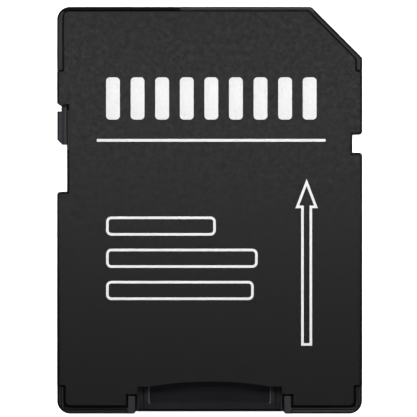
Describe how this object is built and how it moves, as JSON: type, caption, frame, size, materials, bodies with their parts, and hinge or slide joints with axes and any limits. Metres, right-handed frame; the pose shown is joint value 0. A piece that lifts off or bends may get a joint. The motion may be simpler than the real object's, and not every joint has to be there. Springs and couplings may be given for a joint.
{
  "type": "memory card adapter",
  "caption": "Flat black card-shaped adapter with a cut corner, a sliding lock tab at its left edge, sprung gold contacts and a slot at its rear for a small memory card.",
  "frame": {"origin": "middle of the card outline on the contact side, where the part rests", "axes": "+Z out of the label side, +Y towards the contact end that enters a reader first, +X towards the side with the cut corner"},
  "size_m": [0.024, 0.032, 0.0021],
  "materials": {
    "label_shell": "fine matte mould texture",
    "tray_shell": "satin mould finish, slightly bluish black",
    "lock_plastic": "satin mould finish with fine grip grooves",
    "carrier_plastic": "plain insert moulding",
    "gold_plate": "gold-plated spring alloy, wiped bright on the pads"
  },
  "bodies": {
    "housing": {"upper_shell": "label_shell", "lower_shell": "tray_shell", "contact_carrier": "carrier_plastic", "data2_contact": "gold_plate", "data3_contact": "gold_plate", "command_contact": "gold_plate", "supply_contact": "gold_plate", "clock_contact": "gold_plate", "ground_contact": "gold_plate", "data0_contact": "gold_plate", "data1_contact": "gold_plate"},
    "lock": {"lock_slider": "lock_plastic"}
  },
  "joints": [
    {"name": "lock_slide", "type": "slide", "parent": "housing", "child": "lock", "axis": [0, -1, 0], "range_m": [0, 0.00365]}
  ]
}
